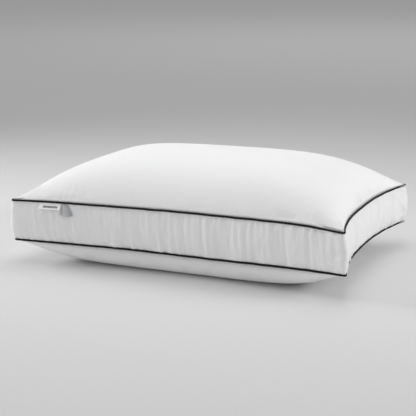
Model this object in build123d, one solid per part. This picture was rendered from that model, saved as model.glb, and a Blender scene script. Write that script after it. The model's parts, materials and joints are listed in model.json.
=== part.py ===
"""Gusseted bed pillow: two puffed panels, a box wall between them, corded piping, and a fibre fill.

Millimetres, +Z up. The pillow lies on the plane z = 0 with its centre on the Z axis and its long
side along X. Its front, with the labels, faces -Y. An inset is a distance inwards from the outer
surface of the piping, measured in plan.
"""
from build123d import *
import os
from math import atan, degrees, pi, sin

# ---------------------------------------------------------------- driving dimensions
width = 708.0               # over the piping between the two short sides, before the corners round
depth = 458.0               # over the piping between the two long sides, before the corners round
long_side_pull_in = 24.0    # how far a filled long side curves in at its middle
short_side_pull_in = 28.0
corner_radius = 9.0
lower_seam_z = 50.0
gusset_height = 80.0
top_rise = 86.0             # the puff of the top panel above its seam
bottom_rise = 80.0          # the puff of the bottom panel before the pillow's weight flattens it
top_fullness = 3.0          # how square the puff is: 2 is an ellipse, more is boxier
bottom_fullness = 3.4
edge_roundness = 0.45       # 0.5 rises from the seam like an ellipse, less rises more steeply

fabric = 0.8                # woven cotton with a thin fused backing
clearance = 0.3             # between the fill and the cover
piping_diameter = 4.0
piping_cord_diameter = 2.9
piping_bore_diameter = 3.0
seam_allowance = 12.0       # inset of the cut edges inside the seam
seam_line_inset = 5.0       # where the needle runs, just inside the piping
thread = 0.3
overlock_depth = 3.0        # how far the overlock's threads wrap in from the cut edges

join_x = 280.0              # the two joins of the gusset strips, on the back
join_allowance = 10.0
join_stitch_pitch = 4.0
join_stitch_length = 3.0
join_stitch_inset = 9.0
join_stitch_margin = 6.0    # left free of join stitches at each piping

closing_length = 250.0      # the length left open for filling, then stitched shut
closing_pitch = 4.0
closing_stitch = (2.8, 0.5, 0.5)
closing_height = 3.5        # of the closing stitches above the lower seam
stitch_gap = 0.05           # keeps a stitch's flat back off the curved wall

brand_label = (46.0, 12.5)  # width along the seam and free height
brand_label_x = -263.5
care_label = (28.0, 28.0)
care_label_x = -226.0
label_thickness = 0.4
label_gap = 0.35            # between a label and the gusset or the piping

# ---------------------------------------------------------------- derived
upper_seam_z = lower_seam_z + gusset_height
face_inset = piping_diameter + 0.05     # the panels and the gusset start just inside the piping
stack = piping_diameter / 2             # half the height of the piping
flange = fabric / 2                     # half the thickness of the piping's folded flange


def seam_outline(inset):
    """The pillow's plan at an inset, as a face: four sides that curve in, and rounded corners."""
    x, y = width / 2, depth / 2
    corners = [(-x, -y), (x, -y), (x, y), (-x, y)]
    middles = [
        (0, long_side_pull_in - y),
        (x - short_side_pull_in, 0),
        (0, y - long_side_pull_in),
        (short_side_pull_in - x, 0),
    ]
    sides = [ThreePointArc(corners[i], middles[i], corners[(i + 1) % 4]) for i in range(4)]
    plan = make_face(Wire(sides)).face()
    if inset:
        plan = offset(plan, amount=-inset, kind=Kind.INTERSECTION).face()
    return plan.fillet_2d(max(corner_radius - inset, 2.0), plan.vertices())


def long_side_y(x, inset):
    """The distance of a long side from the pillow's middle line, at a place along it."""
    return depth / 2 - long_side_pull_in * (1 - (2 * x / width) ** 2) - inset


def long_side_turn(x):
    """How far the back side has turned from the X axis there, in degrees. The front mirrors it."""
    return degrees(atan(8 * long_side_pull_in * x / width**2))


def slab(inset, low, high):
    """The pillow's plan at an inset, filled between two heights."""
    return extrude(Pos(0, 0, low) * seam_outline(inset), amount=high - low)


def ring(outer_inset, inner_inset, low, high):
    """A band that follows the seam, between two insets and two heights."""
    return slab(outer_inset, low, high) - slab(inner_inset, low - 1, high + 1)


def puff_surface(inset, base, rise, fullness):
    """The curved surface of a filled panel. It leaves its seam steeply and is nearly flat on top."""
    steps_x, steps_y = 16, 12
    half_x, half_y = width / 2 - inset, depth / 2 - inset
    points = []
    for i in range(steps_x + 1):
        u = sin(pi * (i / steps_x - 0.5))
        column = []
        for j in range(steps_y + 1):
            v = sin(pi * (j / steps_y - 0.5))
            fall = max(0, 1 - abs(u) ** fullness) * max(0, 1 - abs(v) ** fullness)
            x = u * (half_x - short_side_pull_in * (1 - v * v))
            y = v * (half_y - long_side_pull_in * (1 - u * u))
            column.append(Vector(x, y, base + rise * fall**edge_roundness))
        points.append(column)
    return Face.make_surface_from_array_of_points(points)


def puff(inset, base, rise, fullness):
    """The solid between a level seam and the puffed surface above or below it."""
    beyond = 0.5            # the surface starts this far outside the solid
    top = base + 1.3 * rise
    block = slab(inset, min(base, top), max(base, top))
    surface = puff_surface(inset - beyond, base, rise, fullness)
    return max(split(block, bisect_by=surface, keep=Keep.BOTH).solids(), key=holds(base))


def holds(level):
    """A measure that picks the piece of a split block on the side of the seam."""
    return lambda solid: -abs(solid.center().Z - level)


def top_puff(margin):
    """The space under the top panel, smaller by a margin all over."""
    return puff(face_inset + margin, upper_seam_z + flange, top_rise - margin, top_fullness)


def bottom_puff(margin):
    """The space over the bottom panel, smaller by a margin all over, flat where it meets the floor."""
    block = puff(face_inset + margin, lower_seam_z - flange, margin - bottom_rise, bottom_fullness)
    return block & slab(0, margin, lower_seam_z)


def seam_allowance_ring(low):
    """The part of a panel or gusset that turns in along the seam and is sewn to the piping."""
    return ring(face_inset, seam_allowance, low, low + fabric)


# ---------------------------------------------------------------- the cover
def make_top_panel():
    shell = top_puff(0) - top_puff(fabric)
    return shell + seam_allowance_ring(upper_seam_z + flange)


def make_bottom_panel():
    shell = bottom_puff(0) - bottom_puff(fabric)
    return shell + seam_allowance_ring(lower_seam_z - flange - fabric)


def make_gusset():
    """The whole wall, before it is parted at its two joins."""
    low, high = lower_seam_z + flange, upper_seam_z - flange
    wall = ring(face_inset, face_inset + fabric, low, high)
    return wall + seam_allowance_ring(low) + seam_allowance_ring(high - fabric)


def join_tab(side, facing):
    """One strip's turned-in edge at a join. facing is +1 for the edge nearer the corner."""
    trim = flange + fabric + thread
    low, high = lower_seam_z + trim, upper_seam_z - trim
    x = side * (join_x + facing * fabric / 2)
    tab = Pos(x, depth / 2, (low + high) / 2) * Box(fabric, 4 * join_allowance, high - low)
    return tab & ring(face_inset + fabric, face_inset + join_allowance, low, high)


def make_gusset_strips():
    """The long strip round the front and both short sides, and the short one along the back."""
    wall = make_gusset()
    middle = Pos(0, depth / 2, upper_seam_z / 2) * Box(2 * join_x, depth / 2, 2 * upper_seam_z)
    front, back = wall - middle, wall & middle
    for side in (-1, 1):
        front += join_tab(side, 1)
        back += join_tab(side, -1)
    return front, back


def make_join_stitches():
    """Stitches through the turned-in edges of both joins, seen as short bars on both faces."""
    reach = 2 * fabric + 2 * thread
    y = long_side_y(join_x, join_stitch_inset)
    count = int((gusset_height - 2 * join_stitch_margin) / join_stitch_pitch)
    stitches = []
    for side in (-1, 1):
        for i in range(count):
            z = lower_seam_z + join_stitch_margin + join_stitch_pitch * (i + 0.5)
            for face in (-1, 1):
                x = side * join_x + face * (reach - thread) / 2
                stitches.append(Pos(x, y, z) * Box(thread, thread, join_stitch_length))
    return Compound(children=stitches)


# ---------------------------------------------------------------- piping and threads
def along_seam(section, inset, z):
    """Sweeps a flat section round the whole seam at an inset and a height."""
    path = Pos(0, 0, z) * seam_outline(inset).outer_wire()
    return sweep(Plane(origin=path @ 0, z_dir=path % 0) * section, path=path, transition=Transition.RIGHT)


def make_piping_cover(z):
    """A bias strip folded round the cord, with its two edges laid together in the seam."""
    centre = piping_diameter / 2
    tube = along_seam(Circle(piping_diameter / 2) - Circle(piping_bore_diameter / 2), centre, z)
    wall_inset = centre + (piping_diameter + piping_bore_diameter) / 4
    return tube + ring(wall_inset, seam_allowance, z - flange, z + flange)


def make_piping_cord(z):
    return along_seam(Circle(piping_cord_diameter / 2), piping_diameter / 2, z)


def make_seam_thread(z, side):
    """The lockstitch's needle thread, on top of the seam, or its bobbin thread, below it."""
    low = z + side * (flange + fabric) + min(side, 0) * thread
    return ring(seam_line_inset, seam_line_inset + thread, low, low + thread)


def make_overlock_thread(z):
    """Threads wrapped round the three cut edges of the seam, as one closed channel."""
    half = flange + fabric + thread
    outside = ring(seam_allowance - overlock_depth, seam_allowance + thread, z - half, z + half)
    inside = half - thread
    return outside - slab(0, z - inside, z + inside) + ring(
        seam_allowance, seam_allowance + thread, z - inside, z + inside
    )


def make_closing_stitches():
    """A row of short stitches along the back, where the cover was shut after filling."""
    count = int(closing_length / closing_pitch)
    z = lower_seam_z + closing_height
    stitches = []
    for i in range(count):
        x = (i - (count - 1) / 2) * closing_pitch
        y = long_side_y(x, face_inset) + closing_stitch[1] / 2 + stitch_gap
        stitches.append(Pos(x, y, z) * Rot(0, 0, long_side_turn(x)) * Box(*closing_stitch))
    return Compound(children=stitches)


# ---------------------------------------------------------------- labels and fill
def make_label(centre_x, size):
    """A label that hangs from the upper seam in front of the gusset, along the seam's direction."""
    label_width, height = size
    y = -long_side_y(centre_x, face_inset) - label_gap - label_thickness / 2
    top = upper_seam_z - stack - label_gap
    plate = Box(label_width, label_thickness, height)
    return Pos(centre_x, y, top - height / 2) * Rot(0, 0, -long_side_turn(centre_x)) * plate


def make_fibre_fill():
    """The fill, which takes the shape of the cover and closes round the turned-in seams."""
    margin = fabric + clearance
    body = slab(face_inset + margin, lower_seam_z - flange, upper_seam_z + flange)
    body = body + top_puff(margin) + bottom_puff(margin)
    stack_half = flange + fabric + thread + clearance
    for z in (lower_seam_z, upper_seam_z):
        body -= ring(0, seam_allowance + thread + clearance, z - stack_half, z + stack_half)
    gap = fabric + thread + clearance
    slot_depth = join_allowance + clearance
    for side in (-1, 1):
        slot = Pos(side * join_x, depth / 2, (lower_seam_z + upper_seam_z) / 2)
        slot *= Box(2 * gap, 4 * join_allowance, gusset_height)
        body -= slot & ring(face_inset, face_inset + slot_depth, lower_seam_z, upper_seam_z)
    return body


gusset_front_strip, gusset_back_strip = make_gusset_strips()
nodes = {
    "top_panel": make_top_panel(),
    "bottom_panel": make_bottom_panel(),
    "gusset_front_strip": gusset_front_strip,
    "gusset_back_strip": gusset_back_strip,
    "gusset_join_stitches": make_join_stitches(),
    "closing_stitches": make_closing_stitches(),
    "brand_label": make_label(brand_label_x, brand_label),
    "care_label": make_label(care_label_x, care_label),
    "fibre_fill": make_fibre_fill(),
}
for name, z in (("lower", lower_seam_z), ("upper", upper_seam_z)):
    nodes[f"{name}_piping_cover"] = make_piping_cover(z)
    nodes[f"{name}_piping_cord"] = make_piping_cord(z)
    nodes[f"{name}_seam_needle_thread"] = make_seam_thread(z, 1)
    nodes[f"{name}_seam_bobbin_thread"] = make_seam_thread(z, -1)
    nodes[f"{name}_overlock_thread"] = make_overlock_thread(z)

os.makedirs("parts", exist_ok=True)
for name, shape in nodes.items():
    export_step(shape, f"parts/{name}.step")
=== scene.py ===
"""Looks for a gusseted bed pillow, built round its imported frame. Metres, +Z up, front faces -Y.

Every piece is laid out on one shared plan, in u and v from -1 to 1, so neighbours always meet at
the piping, and settle() then moves them all alike. Cloth simulation adds the puckers at the seams.
An inset is a distance inwards from the outer surface of the piping, as in the CAD.
"""
import json
import math

import bmesh
import bpy
import numpy as np
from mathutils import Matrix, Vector


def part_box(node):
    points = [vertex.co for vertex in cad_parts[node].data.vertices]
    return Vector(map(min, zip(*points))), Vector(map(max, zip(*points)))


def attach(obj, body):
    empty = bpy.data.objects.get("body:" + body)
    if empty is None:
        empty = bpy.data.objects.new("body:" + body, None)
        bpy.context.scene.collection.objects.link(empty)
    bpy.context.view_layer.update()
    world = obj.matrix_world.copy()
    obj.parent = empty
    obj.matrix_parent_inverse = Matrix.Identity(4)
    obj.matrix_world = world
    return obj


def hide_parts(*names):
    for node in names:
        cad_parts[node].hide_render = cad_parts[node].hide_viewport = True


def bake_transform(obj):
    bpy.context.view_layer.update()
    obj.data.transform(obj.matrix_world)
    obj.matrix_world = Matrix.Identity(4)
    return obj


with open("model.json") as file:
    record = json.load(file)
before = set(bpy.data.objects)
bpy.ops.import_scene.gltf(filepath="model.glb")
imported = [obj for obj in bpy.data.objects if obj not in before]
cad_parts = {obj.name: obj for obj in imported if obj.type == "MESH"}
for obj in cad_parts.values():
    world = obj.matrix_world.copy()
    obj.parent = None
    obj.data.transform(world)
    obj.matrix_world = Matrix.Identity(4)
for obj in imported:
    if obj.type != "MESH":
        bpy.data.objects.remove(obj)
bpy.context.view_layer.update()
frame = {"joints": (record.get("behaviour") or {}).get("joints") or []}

# ---------------------------------------------------------------- sizes, from the frame
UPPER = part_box("upper_piping_cover")
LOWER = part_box("lower_piping_cover")
PIPING = UPPER[1][2] - UPPER[0][2]              # diameter
UPPER_Z = (UPPER[0][2] + UPPER[1][2]) / 2
LOWER_Z = (LOWER[0][2] + LOWER[1][2]) / 2
TOP_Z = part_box("top_panel")[1][2]
CORNER_CUT = 0.0029                             # what rounding a corner takes off each side
HALF_X = UPPER[1][0] + CORNER_CUT
HALF_Y = UPPER[1][1] + CORNER_CUT
JOIN_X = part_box("gusset_back_strip")[1][0]
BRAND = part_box("brand_label")
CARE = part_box("care_label")
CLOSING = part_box("closing_stitches")

# ---------------------------------------------------------------- sizes of the sewing
CORNER_RADIUS = 0.009
FABRIC = 0.0008
FLANGE = FABRIC / 2                             # half the thickness of the piping's folded flange
SEAM_INSET = PIPING + 0.00005
ALLOWANCE = 0.012                               # inset of the cut edges inside the seam
MID_ALLOWANCE = 0.008
JOIN_ALLOWANCE = 0.010
THREAD = 0.0003
NEEDLE_INSET = 0.00515
STACK = FLANGE + FABRIC                         # half the thickness of all the layers in a seam
CORD = 0.0029

# ---------------------------------------------------------------- how the filled cover sits
LONG_PULL_IN = 0.024
SHORT_PULL_IN = 0.031
TOP_FULLNESS = 4.0
TOP_ROUNDNESS = 0.64
TOP_FRONT_ROUNDNESS = 0.84
BOTTOM_FULLNESS = 3.4
BOTTOM_ROUNDNESS = 0.45
SEAM_SPREAD_UP = 0.0036                         # the upper seam's rise at the middle of a long side
SEAM_SPREAD_DOWN = 0.0026
RIGHT_LEAN = 0.003                              # the front right corner leans in by this much at the
RIGHT_LEAN_MORE = 0.005                         # lower seam, and by this much more at the upper one
RIGHT_SINK = 0.003                              # and it sinks by this much at the upper seam
LEFT_LEAN = 0.004                               # the front left corner, at the lower seam only
SWELL = 0.0010                                  # slow unevenness, sideways and then upwards
SWELL_UP = 0.0008
SEAM_WAVER = 0.00013
BOTTOM_DROP = 0.092                             # the bottom's puff before the floor flattens it


# ---------------------------------------------------------------- shared shape functions
def plan(u, v, inset):
    """The pillow's plan: u and v become x and y, with sides that curve in and rounded corners."""
    half_x, half_y = HALF_X - inset, HALF_Y - inset
    radius = max(CORNER_RADIUS - inset, 0.002)
    from_x = np.maximum(radius - (1 - np.abs(u)) * half_x, 0)
    from_y = np.maximum(radius - (1 - np.abs(v)) * half_y, 0)
    reach = np.maximum(from_x, from_y)
    length = np.maximum(np.hypot(from_x, from_y), 1e-9)
    pull = reach / radius * (1 - reach / length)
    u = u - np.sign(u) * from_x * pull / half_x
    v = v - np.sign(v) * from_y * pull / half_y
    x = u * (half_x - SHORT_PULL_IN * (1 - np.abs(v) ** 3))
    y = v * (half_y - LONG_PULL_IN * (1 - u * u))
    return x, y


def level(u, v, inset, z):
    """Points of the plan at one height."""
    x, y = plan(u, v, inset)
    return np.stack([x, y, z + 0 * x], -1)


def fall(u, v, fullness, roundness_x, roundness_y):
    """The height of a puffed panel, 1 at the middle and 0 at the seam. A low roundness rises
    steeply from the seam, and a roundness of 1 is a gentle slope."""
    side_x = np.maximum(1 - np.abs(u) ** fullness, 0)
    side_y = np.maximum(1 - np.abs(v) ** fullness, 0)
    return side_x**roundness_x * side_y**roundness_y


def top_height(u, v, seam, peak):
    """The top slopes more gently towards the front, where the fill has slumped."""
    roundness_y = np.where(v < 0, TOP_FRONT_ROUNDNESS, TOP_ROUNDNESS)
    return seam + (peak - seam) * fall(u, v, TOP_FULLNESS, TOP_ROUNDNESS, roundness_y)


def bottom_height(u, v, seam, drop):
    return seam - drop * fall(u, v, BOTTOM_FULLNESS, 1.0, BOTTOM_ROUNDNESS)


def rest_on_floor(points, floor=0.0, soft=0.030):
    """Flattens what would be below the floor, with a soft bend where the cloth lifts off it."""
    z = points[..., 2] - floor
    bend = (z + soft) ** 2 / (4 * soft)
    lifted = points.copy()
    lifted[..., 2] = floor + np.where(z > soft, z, np.where(z < -soft, 0, bend))
    return lifted


def seam(count):
    """Evenly spaced places (u, v) round the seam, counterclockwise from the middle of the back,
    with their outward normals and the seam's length."""
    def square(turn):
        u = np.interp(turn, [0, 1, 3, 5, 7, 8], [0, -1, -1, 1, 1, 0])
        v = np.interp(turn, [0, 1, 3, 5, 7, 8], [1, 1, -1, -1, 1, 1])
        return u, v
    turn = np.linspace(0, 8, 4001)
    x, y = plan(*square(turn), 0)
    along = np.concatenate([[0], np.cumsum(np.hypot(np.diff(x), np.diff(y)))])
    u, v = square(np.interp(np.linspace(0, along[-1], count, endpoint=False), along, turn))
    x, y = plan(u, v, 0)
    tangent_x, tangent_y = np.roll(x, -1) - np.roll(x, 1), np.roll(y, -1) - np.roll(y, 1)
    size = np.hypot(tangent_x, tangent_y)
    return u, v, np.stack([tangent_y / size, -tangent_x / size, 0 * x], -1), along[-1]


def waves(points, wavelength, height, seed, count=10):
    """Smooth, seeded unevenness: a sum of plane waves of about one wavelength."""
    draw = np.random.default_rng(seed)
    total = np.zeros(points.shape[:-1])
    for _ in range(count):
        heading = draw.normal(size=points.shape[-1])
        heading *= 2 * math.pi / (wavelength * draw.uniform(0.7, 1.5) * np.linalg.norm(heading))
        total += np.sin(points @ heading + draw.uniform(0, 2 * math.pi))
    return total * height / math.sqrt(count / 2)


def front_corner(x, y, side, reach):
    """1 at the front corner on the right (side 1) or left (side -1), fading over about reach."""
    return np.exp(-((np.hypot(x - side * HALF_X, y + HALF_Y) / reach) ** 2))


def settle(points):
    """What filling does to the whole cover, the same for every piece: the seams spread apart at the
    middle of each side, the two front corners lean in, the seams waver, and nothing is quite even."""
    x, y, z = points[..., 0], points[..., 1], points[..., 2]
    moved = points.copy()
    along_x = np.clip(x / HALF_X, -1, 1)
    along_y = np.clip(y / (HALF_Y - LONG_PULL_IN * (1 - along_x**2)), -1, 1)
    near_side = (1 - along_x**2) * along_y**6 + 0.4 * (1 - along_y**2) * along_x**6
    height = np.clip((z - LOWER_Z) / (UPPER_Z - LOWER_Z), 0, 1)
    off_floor = np.clip(z / LOWER_Z, 0, 1)
    spread = height * SEAM_SPREAD_UP - (1 - height) * SEAM_SPREAD_DOWN
    moved[..., 2] += off_floor * near_side * spread

    lean = front_corner(x, y, 1, reach=0.07) * off_floor
    moved[..., 0] -= lean * (RIGHT_LEAN + RIGHT_LEAN_MORE * height)
    moved[..., 2] -= lean * RIGHT_SINK * height
    moved[..., 0] += front_corner(x, y, -1, reach=0.05) * off_floor * (1 - height) * LEFT_LEAN

    moved[..., 0] += waves(points, 0.30, SWELL, seed=1)
    moved[..., 1] += waves(points, 0.28, SWELL, seed=2)
    moved[..., 2] += off_floor * waves(points, 0.26, SWELL_UP, seed=3)

    near_seam = sum(np.exp(-(((z - seam_z) / 0.006) ** 2)) for seam_z in (LOWER_Z, UPPER_Z))
    moved[..., 2] += near_seam * waves(points[..., :2], 0.04, SEAM_WAVER, seed=4)
    moved[..., 1] += near_seam * waves(points[..., :2], 0.05, SEAM_WAVER, seed=5)
    return moved


# ---------------------------------------------------------------- mesh helpers
def mesh_piece(name, points, quads, uvs):
    """A piece from its vertices, its quads, and a UV place in metres for each quad's corners."""
    mesh = bpy.data.meshes.new(name)
    mesh.from_pydata(np.asarray(points).reshape(-1, 3).tolist(), [], np.asarray(quads).tolist())
    mesh.uv_layers.new(name="cloth").data.foreach_set("uv", np.asarray(uvs).ravel())
    mesh.polygons.foreach_set("use_smooth", [True] * len(mesh.polygons))
    piece = bpy.data.objects.new(name, mesh)
    bpy.context.scene.collection.objects.link(piece)
    return piece


def distances(points, axis, wrap):
    """How far each row or column of a grid is from the first, along the cloth."""
    if wrap:
        points = np.concatenate([points, points.take([0], axis)], axis)
    steps = np.linalg.norm(np.diff(points, axis=axis), axis=-1).mean(1 - axis)
    return np.concatenate([[0], np.cumsum(steps)])


def grid_mesh(name, points, wrap_rows=False, wrap_columns=False):
    """A mesh over a grid of points; a wrapped grid's last row or column joins its first."""
    rows, columns = points.shape[:2]
    last_row, last_column = rows - (not wrap_rows), columns - (not wrap_columns)
    i, j = np.meshgrid(np.arange(last_row), np.arange(last_column), indexing="ij")
    row = np.stack([i, i + 1, i + 1, i], -1).reshape(-1, 4)
    column = np.stack([j, j, j + 1, j + 1], -1).reshape(-1, 4)
    along, up = distances(points, 0, wrap_rows), distances(points, 1, wrap_columns)
    quads = row % rows * columns + column % columns
    return mesh_piece(name, points, quads, np.stack([along[row], up[column]], -1))


def grid_parts(points):
    """Vertices, quads and UVs of an open grid, for flaps to be added to."""
    rows, columns = points.shape[:2]
    n = np.arange(rows * columns).reshape(rows, columns)
    quads = np.stack([n[:-1, :-1], n[1:, :-1], n[1:, 1:], n[:-1, 1:]], -1).reshape(-1, 4)
    along, up = np.meshgrid(distances(points, 0, False), distances(points, 1, False), indexing="ij")
    return points.reshape(-1, 3), quads, np.stack([along.ravel(), up.ravel()], -1)


def add_flap(parts, edge, rows, closed=False):
    """Continues the cloth past an edge. The edge's vertices are in the order that its quads run,
    and each of rows is one more line of points further on."""
    points, quads, uvs = parts
    for row in rows:
        fresh = len(points) + np.arange(len(edge))
        a, b = (edge, np.roll(edge, -1)) if closed else (edge[:-1], edge[1:])
        c, d = (fresh, np.roll(fresh, -1)) if closed else (fresh[:-1], fresh[1:])
        step = np.linalg.norm(row - points[edge], axis=-1).mean()
        points = np.concatenate([points, row])
        uvs = np.concatenate([uvs, uvs[edge] + step])
        quads = np.concatenate([quads, np.stack([b, a, c, d], -1)])
        edge = fresh
    return points, quads, uvs


def cloth_piece(name, parts, thickness=FABRIC):
    """A sheet of cloth with its thickness, which goes inwards from its face."""
    points, quads, uvs = parts
    piece = mesh_piece(name, points, quads, uvs[quads])
    solid = piece.modifiers.new("thickness", "SOLIDIFY")
    solid.thickness = thickness
    solid.offset = -1
    apply_modifiers(piece)
    return piece


def apply_modifiers(piece):
    """Replaces the mesh with its evaluated shape and clears the modifiers."""
    graph = bpy.context.evaluated_depsgraph_get()
    mesh = bpy.data.meshes.new_from_object(piece.evaluated_get(graph))
    piece.modifiers.clear()
    piece.data = mesh


def swept_ring(name, section, z, count):
    """Sweeps a closed section round the seam. Its points are (inset, height above the seam)."""
    u, v, _, _ = seam(count)
    rows = [settle(level(u, v, inset, z + rise)) for inset, rise in section]
    return grid_mesh(name, np.stack(rows, 1), wrap_rows=True, wrap_columns=True)


def tube_points(path, reference, radius, sides, closed=True):
    """A grid of points round a path. reference is a direction at about a right angle to it, and
    radius is one number or one for each point of the grid."""
    if closed:
        tangent = np.roll(path, -1, 0) - np.roll(path, 1, 0)
    else:
        tangent = np.gradient(path, axis=0)
    tangent /= np.linalg.norm(tangent, axis=1, keepdims=True)
    normal = reference - (reference * tangent).sum(1, keepdims=True) * tangent
    normal /= np.linalg.norm(normal, axis=1, keepdims=True)
    other = np.cross(normal, tangent)
    angle = np.linspace(0, 2 * math.pi, sides, endpoint=False)
    radius = np.broadcast_to(radius, (len(path), sides))[..., None]
    turned = np.cos(angle)[:, None] * normal[:, None] + np.sin(angle)[:, None] * other[:, None]
    return path[:, None] + radius * turned


def coordinates(mesh):
    flat = np.empty(len(mesh.vertices) * 3)
    mesh.vertices.foreach_get("co", flat)
    return flat.reshape(-1, 3)


# ---------------------------------------------------------------- cloth simulation
def blur(field, passes, wrap):
    """Evens out a grid of vectors by repeated averaging with its neighbours."""
    for _ in range(passes):
        if wrap:
            field = (np.roll(field, 1, 0) + np.roll(field, -1, 0) + 2 * field) / 4
        else:
            inner = (field[:-2] + field[2:] + 2 * field[1:-1]) / 4
            field = np.concatenate([field[:1], inner, field[-1:]])
        inner = (field[:, :-2] + field[:, 2:] + 2 * field[:, 1:-1]) / 4
        field = np.concatenate([field[:, :1], inner, field[:, -1:]], 1)
    return field


def cloth_settings(cloth, pressure, spare):
    settings = cloth.settings
    settings.quality = 5
    settings.mass = 0.15
    settings.tension_stiffness = 15
    settings.compression_stiffness = 15
    settings.shear_stiffness = 5
    settings.bending_stiffness = 0.02
    settings.vertex_group_mass = "rim"
    settings.pin_stiffness = 1
    settings.use_pressure = True
    settings.uniform_pressure_force = pressure
    settings.pressure_factor = 0
    settings.shrink_min = -spare
    settings.effector_weights.gravity = 0
    cloth.collision_settings.use_collision = False


def puckers(grid, rim, pressure, spare, wrap, spread, cap, frames=20):
    """The puckers that form in a sheet held by its rim with a little spare fabric, as a
    displacement of the grid. The slow swelling that comes with them is left out."""
    piece = grid_mesh("trial_cloth", grid, wrap_rows=wrap)
    group = piece.vertex_groups.new(name="rim")
    group.add(np.flatnonzero(rim.ravel()).tolist(), 1.0, "REPLACE")
    cloth = piece.modifiers.new("cloth", "CLOTH")
    cloth_settings(cloth, pressure, spare)
    cloth.point_cache.frame_start = 1
    cloth.point_cache.frame_end = frames
    for number in range(1, frames + 1):
        bpy.context.scene.frame_set(number)
    evaluated = piece.evaluated_get(bpy.context.evaluated_depsgraph_get())
    moved = coordinates(evaluated.to_mesh()).reshape(grid.shape) - grid
    evaluated.to_mesh_clear()
    bpy.data.objects.remove(piece)
    bpy.context.scene.frame_set(1)
    moved = moved - blur(moved, spread, wrap)
    length = np.linalg.norm(moved, axis=-1, keepdims=True)
    moved *= np.minimum(1, cap / np.maximum(length, 1e-9))
    moved[rim] = 0
    return moved


# ---------------------------------------------------------------- panels
PANEL_STEPS = (220, 144)
PANEL_PUCKERING = 0.4                           # the share of the simulated puckers that is kept
PUCKER_REACH = 0.014
GATHER_HEIGHT = 0.0006
GATHER_REACH = 0.016


def panel_grid(steps_x, steps_y):
    """Grid places over a panel, closer together near the seam."""
    def spaced(steps):
        t = np.linspace(-1, 1, steps)
        return 0.55 * t + 0.45 * np.sin(t * math.pi / 2)
    return np.meshgrid(spaced(steps_x), spaced(steps_y), indexing="ij")


def rim_of(shape):
    """The numbers of a grid's rim vertices, in the order that its quads run."""
    n = np.arange(shape[0] * shape[1]).reshape(shape)
    return np.concatenate([n[:-1, 0], n[-1, :-1], n[:0:-1, -1], n[0, :0:-1]])


def seam_distance(u, v):
    return np.minimum((1 - np.abs(u)) * HALF_X, (1 - np.abs(v)) * HALF_Y)


def seam_gathers(u, v, points, height, reach, seed):
    """Little ridges that run in from the seam and die out. Each side's run straight in."""
    long_side = (1 - np.abs(v)) * HALF_Y < (1 - np.abs(u)) * HALF_X
    along = np.where(long_side, points[..., 0], points[..., 1] + 3)[..., None]
    ridge = waves(along, 0.013, 1.0, seed, 14)
    ridge *= 0.5 + 0.5 * np.clip(waves(along, 0.12, 1.0, seed + 1), -1, 1)
    from_seam = seam_distance(u, v)
    corner = np.clip((np.hypot(1 - np.abs(u), (1 - np.abs(v)) * 0.65) * HALF_X - 0.01) / 0.02, 0, 1)
    rise = np.clip(from_seam / 0.004, 0, 1) * corner
    return height * ridge * rise * np.exp(-from_seam / reach)


def panel(name, u, v, points, seam_z):
    """A panel's cloth, puckered at its seam, with its seam allowance turned in."""
    rim = np.zeros(u.shape, bool)
    rim.ravel()[rim_of(u.shape)] = True
    moved = puckers(points, rim, pressure=2.0, spare=0.02, wrap=False, spread=60, cap=0.004)
    points = points + PANEL_PUCKERING * moved * np.exp(-seam_distance(u, v) / PUCKER_REACH)[..., None]
    points[..., 2] = np.maximum(points[..., 2], 0)
    edge = rim_of(u.shape)
    insets = (MID_ALLOWANCE, ALLOWANCE)
    rows = [settle(level(u.ravel()[edge], v.ravel()[edge], inset, seam_z)) for inset in insets]
    return cloth_piece(name, add_flap(grid_parts(points), edge, rows, closed=True))


def top_panel():
    u, v = panel_grid(*PANEL_STEPS)
    seam_z = UPPER_Z + FLANGE
    points = level(u, v, SEAM_INSET, 0)
    points[..., 2] = top_height(u, v, seam_z, TOP_Z)
    points = settle(points)
    points[..., 2] += seam_gathers(u, v, points, GATHER_HEIGHT, GATHER_REACH, seed=20)
    return panel("top_panel_cloth", u, v, points, seam_z)


def bottom_panel():
    u, v = panel_grid(*PANEL_STEPS)
    u, v = u[::-1], v[::-1]
    seam_z = LOWER_Z - FLANGE
    points = level(u, v, SEAM_INSET, 0)
    points[..., 2] = bottom_height(u, v, seam_z, BOTTOM_DROP)
    points = settle(points)
    points[..., 2] -= seam_gathers(u, v, points, GATHER_HEIGHT, GATHER_REACH, seed=30)
    return panel("bottom_panel_cloth", u, v, rest_on_floor(points), seam_z)


# ---------------------------------------------------------------- the wall
WALL_STEPS = 1280
WALL_ROWS = 31
WALL_BULGE = 0.0045
CORNER_BULGE = 0.0025                           # what is added near a corner
CORNER_REACH = 0.035
WALL_PUCKERING = 0.5                            # the share of the simulated puckers that is kept
BROAD_FOLD = 0.0007
FINE_FOLD = 0.0005
PUCKER_SPACING = 0.0095
LOW_PUCKER = 0.0028                             # at the lower seam, and at the upper one
HIGH_PUCKER = 0.0014
JOIN_CREASE = 0.0016


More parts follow.
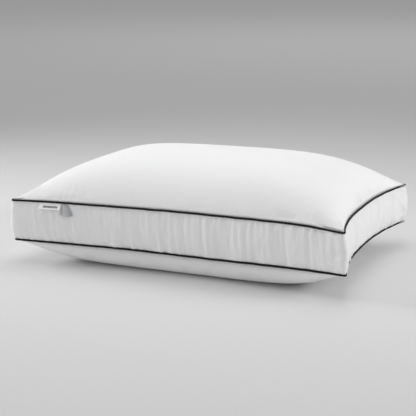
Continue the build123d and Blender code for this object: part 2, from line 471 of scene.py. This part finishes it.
def wall():
    """The whole wall as one grid round the pillow, from the lower seam to the upper one."""
    u, v, outward, length = seam(WALL_STEPS)
    t = np.linspace(0, 1, WALL_ROWS)
    x, y = plan(u, v, SEAM_INSET)
    points = np.empty((WALL_STEPS, WALL_ROWS, 3))
    points[..., 0], points[..., 1] = x[:, None], y[:, None]
    low, high = LOWER_Z + FLANGE, UPPER_Z - FLANGE
    points[..., 2] = low + (high - low) * t

    from_corner = ((HALF_X - np.abs(x)) / CORNER_REACH) ** 2 + ((HALF_Y - np.abs(y)) / CORNER_REACH) ** 2
    bulge = WALL_BULGE + CORNER_BULGE * np.exp(-from_corner)[:, None]
    bulge = bulge * np.sin(math.pi * t**0.85) ** 0.6
    points = settle(points)
    points += outward[:, None] * (bulge + wall_folds(length, t))[..., None]

    rim = np.zeros((WALL_STEPS, WALL_ROWS), bool)
    rim[:, [0, -1]] = True
    moved = puckers(points, rim, pressure=1.0, spare=0.03, wrap=True, spread=220, cap=0.005)
    return points + WALL_PUCKERING * moved


def wall_folds(length, t):
    """Soft upright folds across the wall, and fine puckers that fade away from each seam."""
    turn = np.arange(WALL_STEPS)[:, None] / WALL_STEPS * 2 * math.pi
    lean = 0.006 * t / length * 2 * math.pi
    around = np.stack([np.cos(turn + lean), np.sin(turn + lean)], -1) * length / (2 * math.pi)
    fold = waves(around, 0.055, BROAD_FOLD, 40, count=16) + waves(around, 0.016, FINE_FOLD, 43, count=16)
    strength = 0.55 + 0.45 * np.clip(waves(around, 0.25, 1.0, seed=44), -1, 1)
    low = waves(around, PUCKER_SPACING, LOW_PUCKER, seed=41, count=16)
    low = low * strength * np.exp(-t / 0.15)
    high = waves(around, PUCKER_SPACING, HIGH_PUCKER, seed=42, count=16)
    high = high * (1 - strength) * np.exp(-(1 - t) / 0.1)
    near_seam = np.clip(np.minimum(t, 1 - t) / 0.05, 0, 1)
    return fold * np.sin(math.pi * t) ** 0.5 + (low + high) * near_seam


def wall_strip(name, points, u, v, outward):
    """One strip of the wall, with its seam allowances and its two joined ends turned in."""
    low, high = LOWER_Z + FLANGE, UPPER_Z - FLANGE
    below = [settle(level(u, v, inset, low)) for inset in (ALLOWANCE, MID_ALLOWANCE)]
    above = [settle(level(u, v, inset, high)) for inset in (MID_ALLOWANCE, ALLOWANCE)]
    grid = np.stack([*below, *np.moveaxis(points, 1, 0), *above], 1)
    parts = grid_parts(grid)
    n = np.arange(grid.shape[0] * grid.shape[1]).reshape(grid.shape[:2])
    trim = 4                                    # rows that the turned-in end stops short of
    for end, order in ((0, -1), (-1, 1)):
        edge = n[end, trim:-trim][::order]
        start = parts[0][edge]
        steps = (0.0008, JOIN_ALLOWANCE / 2, JOIN_ALLOWANCE)
        parts = add_flap(parts, edge, [start - step * outward[end] for step in steps])
    return cloth_piece(name, parts)


def gusset_strips(points):
    """The front strip, which goes round three sides and both ends of the back, and the back one."""
    u, v, outward, _ = seam(WALL_STEPS)
    x, y = plan(u, v, 0)
    back = (y > 0) & (np.abs(x) < JOIN_X)
    first = int(np.flatnonzero(~back)[0])
    order = np.roll(np.arange(WALL_STEPS), -first)
    split = int((~back).sum())
    strips = []
    for name, part in (
        ("gusset_front_cloth", order[:split]),
        ("gusset_back_cloth", np.append(order[split - 1:], order[0])),
    ):
        strips.append(wall_strip(name, points[part], u[part], v[part], outward[part]))
    return strips


def crease_joins(points):
    """Draws the wall in a little at the two joins of its strips."""
    u, v, outward, _ = seam(WALL_STEPS)
    x, y = plan(u, v, 0)
    from_join = np.where(y > 0, np.abs(np.abs(x) - JOIN_X), 1.0)
    pull = JOIN_CREASE * np.exp(-from_join / 0.004)
    t = np.linspace(0, 1, WALL_ROWS)
    return points - outward[:, None] * pull[:, None, None] * np.sin(math.pi * t)[:, None] ** 0.3


# ---------------------------------------------------------------- piping and threads
RING_STEPS = 1100
STITCH = 0.003
MOUTH = 12                                      # degrees that the tube is open, above and below its flange


def piping_cover(name, z):
    """A tube of cloth with its two edges laid together as a flange in the seam."""
    radius = PIPING / 2
    angle = np.radians(np.linspace(360 - MOUTH, MOUTH, 15))
    tube = [(radius + radius * math.cos(a), radius * math.sin(a)) for a in angle]
    return swept_ring(name, [(ALLOWANCE, -FLANGE), *tube, (ALLOWANCE, FLANGE)], z, RING_STEPS)


def piping_cord(name, z):
    """Three strands twisted into a cord."""
    count, sides, lay = RING_STEPS, 15, 0.02
    u, v, _, length = seam(count)
    path = settle(level(u, v, PIPING / 2, z))
    angle = np.linspace(0, 2 * math.pi, sides, endpoint=False)
    twist = np.arange(count)[:, None] / count * 2 * math.pi * round(length / lay)
    radius = CORD / 2 * (0.84 + 0.16 * np.abs(np.cos(1.5 * (angle - twist))))
    up = np.array([[0.0, 0.0, 1.0]])
    return grid_mesh(name, tube_points(path, up, radius, sides), True, True)


def seam_thread(name, z, side):
    """A lockstitch's thread on one face of the seam: it dips into the cloth at each stitch."""
    _, _, _, length = seam(100)
    count = 2 * round(length / STITCH)
    u, v, _, _ = seam(count)
    path = level(u, v, NEEDLE_INSET, z + side * (STACK + THREAD / 2))
    path[1::2, 2] -= side * THREAD * 0.8
    up = np.array([[0.0, 0.0, 1.0]])
    return grid_mesh(name, tube_points(settle(path), up, THREAD / 2, 5), True, True)


def overlock_thread(name, z):
    """Loops of thread wrapped round the seam's three cut edges."""
    pitch = 0.004
    out = STACK + THREAD / 2
    bite, turn, end = 0.0094, 0.0108, ALLOWANCE + THREAD / 2
    loop = [(bite, out), (turn, out), (end, FABRIC), (end, -FABRIC), (turn, -out), (bite, -out)]
    _, _, _, length = seam(100)
    count = len(loop) * round(length / pitch)
    u, v, outward, _ = seam(count)
    path = np.empty((count, 3))
    reference = np.empty((count, 3))
    for k, (inset, rise) in enumerate(loop):
        here = slice(k, None, len(loop))
        path[here] = level(u[here], v[here], inset, z + rise)
        reference[here] = outward[here] * (turn - inset)
        reference[here, 2] = rise
    return grid_mesh(name, tube_points(settle(path), reference, THREAD / 2, 4), True, True)


def stitch_bars(name, centres, directions, outward, length, radius):
    """Short rounded stitches, each a bar that arches a little off the cloth."""
    place = np.array([-0.5, -0.42, -0.2, 0.2, 0.42, 0.5])
    thick = np.array([0.25, 0.8, 1.0, 1.0, 0.8, 0.25])[:, None] * radius
    lift = radius * (0.6 - 1.6 * (2 * place) ** 4)
    points, quads, uvs = [], [], []
    for centre, direction, out in zip(centres, directions, outward):
        path = centre + place[:, None] * length * direction + lift[:, None] * out
        grid = tube_points(path, out[None], np.repeat(thick, 6, 1), 6, closed=False)
        rows, sides = grid.shape[:2]
        base = len(points) * rows * sides
        i, j = np.meshgrid(np.arange(rows - 1), np.arange(sides), indexing="ij")
        row = np.stack([i, i + 1, i + 1, i], -1).reshape(-1, 4)
        column = np.stack([j, j, j + 1, j + 1], -1).reshape(-1, 4)
        quads.append(base + row * sides + column % sides)
        uvs.append(np.stack([row * length / rows, column * radius], -1))
        points.append(grid.reshape(-1, 3))
    piece = mesh_piece(name, np.concatenate(points), np.concatenate(quads), np.concatenate(uvs))
    fill_ends(piece)
    return piece


def fill_ends(piece):
    """Closes the small holes at the ends of bars."""
    work = bmesh.new()
    work.from_mesh(piece.data)
    bmesh.ops.holes_fill(work, edges=[edge for edge in work.edges if edge.is_boundary], sides=8)
    work.to_mesh(piece.data)
    work.free()


def on_wall(points, x, z, side):
    """Places on the front (side -1) or back (side 1) of the wall nearest to x and z, worked out
    from the four nearest vertices."""
    near = points[..., 1] * side > 0.15
    known = points[near]
    off_x = known[None, :, 0] - x.ravel()[:, None]
    off_z = known[None, :, 2] - z.ravel()[:, None]
    distance = off_x**2 + off_z**2
    nearest = np.argpartition(distance, 4, axis=1)[:, :4]
    weight = 1 / (np.take_along_axis(distance, nearest, 1) + 1e-9)
    y = (known[nearest, 1] * weight).sum(1) / weight.sum(1)
    return np.stack([x, y.reshape(x.shape), z], -1)


def closing_stitches(points):
    """The row that shut the cover after filling, along the back just above the lower seam."""
    pitch, length = 0.004, 0.0028
    half = (CLOSING[1][0] - CLOSING[0][0] - length) / 2
    x = np.linspace(-half, half, round(2 * half / pitch) + 1)
    z = np.full(x.shape, (CLOSING[0][2] + CLOSING[1][2]) / 2)
    centres = on_wall(points, x, z, 1)
    centres[:, 2] += np.where(np.arange(len(x)) % 2, 0.0003, -0.0003)
    directions = np.gradient(centres, axis=0) * (1, 1, 0)
    directions /= np.linalg.norm(directions, axis=1, keepdims=True)
    outward = np.cross(np.array([0.0, 0.0, 1.0]), directions)
    return stitch_bars("closing_stitch_row", centres, directions, outward, length, 0.00028)


def join_stitches():
    """Two rows of stitches through the turned-in ends at each join, inside the cover."""
    centres, outward = [], []
    inset, pitch = 0.009, 0.004
    depth = (HALF_Y - LONG_PULL_IN * (1 - (JOIN_X / HALF_X) ** 2)) - inset
    for side in (-1, 1):
        for z in np.arange(LOWER_Z + 2 * pitch, UPPER_Z - 1.5 * pitch, pitch):
            for face in (-1, 1):
                centres.append((side * JOIN_X + face * (FABRIC + THREAD / 2), depth, z))
                outward.append((float(face), 0.0, 0.0))
    up = np.broadcast_to([0.0, 0.0, 1.0], (len(centres), 3))
    centres = settle(np.array(centres))
    return stitch_bars("join_stitch_rows", centres, up, np.array(outward), STITCH, THREAD / 2)


# ---------------------------------------------------------------- labels
LABEL_STEPS = (57, 31)
LABEL_CLOTH = 0.0003


def label(name, points, left, right, seam_z, drop, stand_off):
    """A label hung from the upper seam over the front of the wall. left and right are the x of
    its sides at the seam and at its free edge, and stand_off is its gap from the wall, by how far
    across and how far down it is."""
    places = np.linspace(0, 1, LABEL_STEPS[0]), np.linspace(1, 0, LABEL_STEPS[1])
    across, down = np.meshgrid(*places, indexing="ij")
    sides = [side[0] + (side[1] - side[0]) * down for side in (left, right)]
    x = sides[0] + (sides[1] - sides[0]) * across
    z = seam_z - PIPING * 0.3 - drop * down
    placed = smooth_front(on_wall(points, x, z, -1), across, down)
    placed[..., 1] -= stand_off(across, down)
    return cloth_piece(name, grid_parts(placed), thickness=LABEL_CLOTH)


def smooth_front(placed, across, down):
    """A smooth sheet laid against the front of the puckered wall, touching what stands proudest."""
    one = np.ones(across.shape)
    terms = np.stack([one, across, down, across**2, down**2, across * down], -1).reshape(-1, 6)
    y = placed[..., 1].ravel()
    smooth = terms @ np.linalg.lstsq(terms, y, rcond=None)[0]
    proud = np.maximum(smooth - y, 0).max()
    placed = placed.copy()
    placed[..., 1] = (smooth - proud).reshape(across.shape)
    return placed


def brand_stand_off(across, down):
    bow = 0.0007 * np.sin(math.pi * across) ** 2
    free_end = 0.0016 * np.exp(-(1 - across) / 0.1) + 0.0005 * np.exp(-across / 0.1)
    return 0.0002 + 0.0005 * np.clip(down / 0.2, 0, 1) + down**1.3 * (0.0052 + bow + free_end)


def care_stand_off(across, down):
    fold = 0.5 - 0.5 * np.cos(2 * math.pi * 1.25 * across**1.4)
    return 0.0002 + 0.0005 * np.clip(down / 0.15, 0, 1) + (0.0006 + 0.0085 * down) * fold * (down > 0.02)


# ---------------------------------------------------------------- the fill
def fibre_fill():
    """The fill as one closed, softly lumpy form, grooved where the seams' turned-in edges are."""
    u, v = panel_grid(110, 72)
    gap = 0.0022
    inset = SEAM_INSET + 0.0014
    top = level(u, v, inset, 0)
    top[..., 2] = top_height(u, v, UPPER_Z + gap, TOP_Z - 0.0016)
    edge = rim_of(u.shape)
    rim_u, rim_v = u.ravel()[edge], v.ravel()[edge]
    groove = ALLOWANCE + 0.001
    profile = [(groove, UPPER_Z + gap), (groove, UPPER_Z - gap), (inset, UPPER_Z - gap)]
    for t in np.linspace(0.9, 0.1, 7):
        profile.append((inset - 0.0025 * math.sin(math.pi * t), LOWER_Z + (UPPER_Z - LOWER_Z) * t))
    profile += [(inset, LOWER_Z + gap), (groove, LOWER_Z + gap), (groove, LOWER_Z - gap)]
    rows = [level(rim_u, rim_v, *place) for place in profile]
    bottom = level(u, v, inset, 0)
    bottom[..., 2] = bottom_height(u, v, LOWER_Z - gap, BOTTOM_DROP)
    rows.append(bottom.reshape(-1, 3)[edge])
    points, quads, uvs = add_flap(grid_parts(top), edge, rows, closed=True)

    last = np.arange(len(edge)) + len(points) - len(edge)
    inner = np.ones(u.size, bool)
    inner[edge] = False
    number = np.empty(u.size, int)
    number[edge] = last
    number[inner] = len(points) + np.arange(inner.sum())
    points = np.concatenate([points, bottom.reshape(-1, 3)[inner]])
    _, top_quads, top_uvs = grid_parts(bottom)
    quads = np.concatenate([quads, number[top_quads][:, ::-1]])
    uvs = np.concatenate([uvs, top_uvs[inner]])
    points = rest_on_floor(settle(points), floor=FABRIC + 0.0004)
    middle = np.array([0, 0, (LOWER_Z + UPPER_Z) / 2])
    lump = np.clip(waves(points, 0.06, 0.0006, seed=60) - 0.0006, -0.0016, 0)
    heading = points - middle
    lifted = points[:, 2] > FABRIC + 0.003
    points += lifted[:, None] * lump[:, None] * heading / np.linalg.norm(heading, axis=1, keepdims=True)
    return mesh_piece("fibre_filling", points, quads, uvs[quads])


# ---------------------------------------------------------------- materials
def add(tree, kind, inputs=(), **settings):
    """Adds a shader node. An input is given a value or linked to a socket."""
    node = tree.nodes.new(kind)
    for key, value in settings.items():
        setattr(node, key, value)
    for key, value in dict(inputs).items():
        if isinstance(value, bpy.types.NodeSocket):
            tree.links.new(value, node.inputs[key])
        else:
            node.inputs[key].default_value = value
    return node


def math_node(tree, operation, a, b=0.0):
    return add(tree, "ShaderNodeMath", {0: a, 1: b}, operation=operation).outputs[0]


def cloth_uv(tree, scale, turn=0.0):
    uv = add(tree, "ShaderNodeUVMap", uv_map="cloth").outputs[0]
    inputs = {"Vector": uv, "Scale": (*scale, 1), "Rotation": (0, 0, turn)}
    return add(tree, "ShaderNodeMapping", inputs).outputs[0]


def noise(tree, vector, scale, detail=2.0):
    inputs = {"Vector": vector, "Scale": scale, "Detail": detail}
    return add(tree, "ShaderNodeTexNoise", inputs).outputs["Fac"]


def rescale(tree, value, low, high, start=0.3, stop=0.7):
    inputs = {"Value": value, "From Min": start, "From Max": stop, "To Min": low, "To Max": high}
    return add(tree, "ShaderNodeMapRange", inputs).outputs[0]


def woven(tree, pitch, turn):
    """The height of a weave: warp threads over weft threads in a checkerboard."""
    place = cloth_uv(tree, (1 / pitch[0], 1 / pitch[1]), turn)
    split = add(tree, "ShaderNodeSeparateXYZ", {0: place})
    threads = []
    for axis in (0, 1):
        wave = math_node(tree, "SINE", math_node(tree, "MULTIPLY", split.outputs[axis], math.pi))
        threads.append(math_node(tree, "ABSOLUTE", wave))
    inputs = {"Vector": place, "Scale": 1.0}
    over = add(tree, "ShaderNodeTexChecker", inputs).outputs["Fac"]
    return add(tree, "ShaderNodeMix", {"Factor": over, 2: threads[0], 3: threads[1]}).outputs[0]


def mix_colour(tree, factor, a, b):
    node = add(tree, "ShaderNodeMix", {"Factor": factor}, data_type="RGBA")
    for number, colour in ((6, a), (7, b)):
        if isinstance(colour, bpy.types.NodeSocket):
            tree.links.new(colour, node.inputs[number])
        else:
            node.inputs[number].default_value = (*colour, 1)
    return node.outputs[2]


def textile(name, colour, groove, pitch, roughness, sheen, turn=0.0, bump=0.25, mottle=0.97):
    """A cloth or yarn: threads of a pitch in metres, fibres, and a little variation in tone and
    in roughness. The groove is the colour between threads, and mottle scales the colour of patches."""
    material = bpy.data.materials.new(f"{name}_weave")
    material.use_nodes = True
    tree = material.node_tree
    shader = tree.nodes["Principled BSDF"]
    weave = woven(tree, pitch, turn)
    fibre = noise(tree, cloth_uv(tree, (1800, 5200), turn), 1.0, 3.0)
    body = add(tree, "ShaderNodeTexCoord").outputs["Object"]
    tone = noise(tree, body, 22.0)
    crepe = noise(tree, body, 150.0, 3.0)
    yarn = mix_colour(tree, rescale(tree, weave, 0.0, 1.0, 0.0, 0.7), groove, colour)
    dull = tuple(part * mottle for part in colour)
    tree.links.new(mix_colour(tree, rescale(tree, tone, 0.0, 0.5), yarn, dull), shader.inputs["Base Color"])
    tree.links.new(rescale(tree, crepe, roughness - 0.07, roughness + 0.07), shader.inputs["Roughness"])
    fine = math_node(tree, "MULTIPLY", fibre, 0.35)
    coarse = math_node(tree, "MULTIPLY", crepe, 0.8)
    height = math_node(tree, "ADD", math_node(tree, "ADD", weave, fine), coarse)
    relief = add(tree, "ShaderNodeBump", {"Strength": bump, "Distance": 0.0002, "Height": height})
    tree.links.new(relief.outputs[0], shader.inputs["Normal"])
    shader.inputs["Sheen Weight"].default_value = sheen
    shader.inputs["Sheen Roughness"].default_value = 0.4
    shader.inputs["Specular IOR Level"].default_value = 0.3
    return material


def within(tree, value, middle, reach):
    """1 where a value is no further than reach from the middle, and 0 elsewhere."""
    offset = math_node(tree, "ABSOLUTE", math_node(tree, "SUBTRACT", value, middle))
    return math_node(tree, "LESS_THAN", offset, reach)


def label_motif(material, width, height):
    """A generic woven mark for a label: one row of small upright dashes."""
    tree = material.node_tree
    shader = tree.nodes["Principled BSDF"]
    ground = shader.inputs["Base Color"].links[0].from_socket
    uv = add(tree, "ShaderNodeSeparateXYZ", {0: cloth_uv(tree, (1 / width, 1 / height))})
    across, up = uv.outputs[0], uv.outputs[1]
    beat = math_node(tree, "FRACT", math_node(tree, "MULTIPLY", across, 19.0))
    dash = within(tree, beat, 0.5, 0.36)
    tall = within(tree, up, 0.5, 0.19)
    inside = within(tree, across, 0.52, 0.34)
    mark = math_node(tree, "MULTIPLY", math_node(tree, "MULTIPLY", dash, tall), inside)
    tree.links.new(mix_colour(tree, mark, ground, (0.02, 0.022, 0.04)), shader.inputs["Base Color"])


BIAS = math.radians(45)
WHITE = textile(
    "white_cotton", colour=(0.95, 0.95, 0.955), groove=(0.88, 0.88, 0.885),
    pitch=(0.00034, 0.00034), roughness=0.78, sheen=0.06,
)
BLACK = textile(
    "black_piping", colour=(0.006, 0.006, 0.007), groove=(0.002, 0.002, 0.003),
    pitch=(0.0004, 0.0004), roughness=0.8, sheen=0.02, turn=BIAS, mottle=1.5,
)
YARN = textile(
    "cotton_cord", colour=(0.82, 0.79, 0.72), groove=(0.55, 0.52, 0.45),
    pitch=(0.0011, 0.0004), roughness=0.9, sheen=0.3, turn=0.6, bump=0.5,
)
SEWING = textile(
    "white_thread", colour=(0.93, 0.93, 0.93), groove=(0.7, 0.7, 0.7),
    pitch=(0.0004, 0.00025), roughness=0.5, sheen=0.1, turn=0.7, bump=0.5,
)
WOVEN = textile(
    "woven_label", colour=(0.99, 0.99, 0.99), groove=(0.95, 0.95, 0.96),
    pitch=(0.0002, 0.0004), roughness=0.55, sheen=0.1,
)
# Painted shade: the care label is white satin, and its grey colour stands in for the shadow the brand label
# casts on it and the shade in its folds.
SHADED_SATIN = textile(
    "satin_label", colour=(0.56, 0.565, 0.58), groove=(0.48, 0.485, 0.50),
    pitch=(0.00018, 0.0012), roughness=0.36, sheen=0.0, bump=0.12,
)
FLUFF = textile(
    "fibre_fill", colour=(0.92, 0.92, 0.93), groove=(0.8, 0.8, 0.82),
    pitch=(0.004, 0.0027), roughness=0.95, sheen=0.6, turn=0.5, bump=0.8,
)
label_motif(WOVEN, BRAND[1][0] - BRAND[0][0], BRAND[1][2] - BRAND[0][2])


def finish_piece(piece, material, node, body="root"):
    """The material, the CAD node that the piece stands for, and what it moves with."""
    piece.data.materials.clear()
    piece.data.materials.append(material)
    if body:
        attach(piece, body)
    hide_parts(node)


# ---------------------------------------------------------------- the pieces
wall_points = crease_joins(wall())

top = top_panel()
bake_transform(top)
finish_piece(top, WHITE, "top_panel", body=None)

bottom = bottom_panel()
finish_piece(bottom, WHITE, "bottom_panel")

front_strip, back_strip = gusset_strips(wall_points)
seam_length = seam(WALL_STEPS)[3]
back_length = 2 * JOIN_X
for strip, node, length in (
    (front_strip, "gusset_front_strip", seam_length - back_length),
    (back_strip, "gusset_back_strip", back_length),
):
    finish_piece(strip, WHITE, node)

for name, z in (("upper", UPPER_Z), ("lower", LOWER_Z)):
    finish_piece(piping_cover(f"{name}_piping", z), BLACK, f"{name}_piping_cover")
    finish_piece(piping_cord(f"{name}_cord_core", z), YARN, f"{name}_piping_cord")
    finish_piece(seam_thread(f"{name}_needle_stitches", z, 1), SEWING, f"{name}_seam_needle_thread")
    finish_piece(seam_thread(f"{name}_bobbin_stitches", z, -1), SEWING, f"{name}_seam_bobbin_thread")
    finish_piece(overlock_thread(f"{name}_overlock_loops", z), SEWING, f"{name}_overlock_thread")

finish_piece(join_stitches(), SEWING, "gusset_join_stitches")
finish_piece(closing_stitches(wall_points), SEWING, "closing_stitches")

filling = fibre_fill()
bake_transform(filling)
finish_piece(filling, FLUFF, "fibre_fill", body=None)

front_seam = settle(np.array([[BRAND[0][0], BRAND[0][1], UPPER_Z]]))[0, 2]
brand_left, brand_right = BRAND[0][0], BRAND[1][0]
care_left, care_right = CARE[0][0], CARE[1][0]
brand_shape = {"left": (brand_left, brand_left), "right": (brand_right, brand_right), "drop": 0.0125}
care_shape = {                                  # gathered at the seam, and wider at its free edge
    "left": (care_left + 0.0005, care_left - 0.004),
    "right": (care_left + 0.0115, care_right),
    "drop": 0.0235,
}
for name, material, node, shape, stand_off, flat in (
    ("brand_tag", WOVEN, "brand_label", brand_shape, brand_stand_off, (0.046, 0.0125)),
    ("care_tag", SHADED_SATIN, "care_label", care_shape, care_stand_off, (0.028, 0.028)),
):
    tag = label(name, wall_points, seam_z=front_seam, stand_off=stand_off, **shape)
    hinge = next(joint for joint in frame["joints"] if joint["child"] == node)
    x, y, z = hinge["pos_m"]
    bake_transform(tag)
    finish_piece(tag, material, node, body=None)


# ---------------------------------------------------------------- camera, floor and light
AMBIENT = 0.43
FLOOR_GREY = 0.72


def aim(thing, target):
    direction = Vector(target) - thing.location
    thing.rotation_euler = direction.to_track_quat("-Z", "Y").to_euler()


def camera():
    azimuth, elevation, distance = math.radians(22.63), math.radians(13.99), 2.227
    data = bpy.data.cameras.new("camera")
    data.lens = 91.4
    data.sensor_width = 36
    data.shift_x, data.shift_y = -0.0166, 0.0519
    thing = bpy.data.objects.new("camera", data)
    bpy.context.scene.collection.objects.link(thing)
    thing.location = (
        distance * math.sin(azimuth) * math.cos(elevation),
        -distance * math.cos(azimuth) * math.cos(elevation),
        LOWER_Z + distance * math.sin(elevation),
    )
    aim(thing, (0, 0, LOWER_Z))
    bpy.context.scene.camera = thing


def area_light(name, place, target, size, power, spread=100):
    data = bpy.data.lights.new(name, "AREA")
    data.spread = math.radians(spread)
    data.shape = "RECTANGLE"
    data.size, data.size_y = size
    data.energy = power
    thing = bpy.data.objects.new(name, data)
    bpy.context.scene.collection.objects.link(thing)
    thing.location = place
    aim(thing, target)


def floor_material():
    material = bpy.data.materials.new("studio_floor")
    material.use_nodes = True
    shader = material.node_tree.nodes["Principled BSDF"]
    shader.inputs["Base Color"].default_value = (FLOOR_GREY, FLOOR_GREY, FLOOR_GREY, 1)
    shader.inputs["Roughness"].default_value = 0.9
    return material


def studio():
    bpy.ops.mesh.primitive_plane_add(size=60, location=(0, 10, 0))
    floor = bpy.context.active_object
    floor.name = "studio_floor"
    floor.data.materials.append(floor_material())
    world = bpy.data.worlds.new("studio")
    world.use_nodes = True
    sky = world.node_tree.nodes["Background"]
    sky.inputs["Color"].default_value = (1, 1, 1, 1)
    sky.inputs["Strength"].default_value = AMBIENT
    bpy.context.scene.world = world
    area_light("overhead", (0.2, -0.2, 2.4), (0, 0, 0.1), (1.4, 1.4), 2.6)
    area_light("overhead_back", (0.0, 0.9, 2.2), (0, 0, 0.1), (1.0, 1.0), 1.8)
    area_light("right_side", (2.3, 0.4, 1.1), (0.2, 0, 0.1), (1.0, 0.8), 6.2)
    area_light("left_side", (-2.2, -0.2, 1.0), (0, 0, 0.1), (1.0, 0.8), 8)
    area_light("front_fill", (-0.6, -2.5, 0.9), (0, 0, 0.1), (1.2, 0.8), 1.2)
    area_light("background", (-1.0, 6.0, 5.0), (-1.0, 6.5, 0.0), (5.0, 5.0), 45, spread=170)
    bpy.context.scene.view_settings.view_transform = "Standard"


camera()
studio()
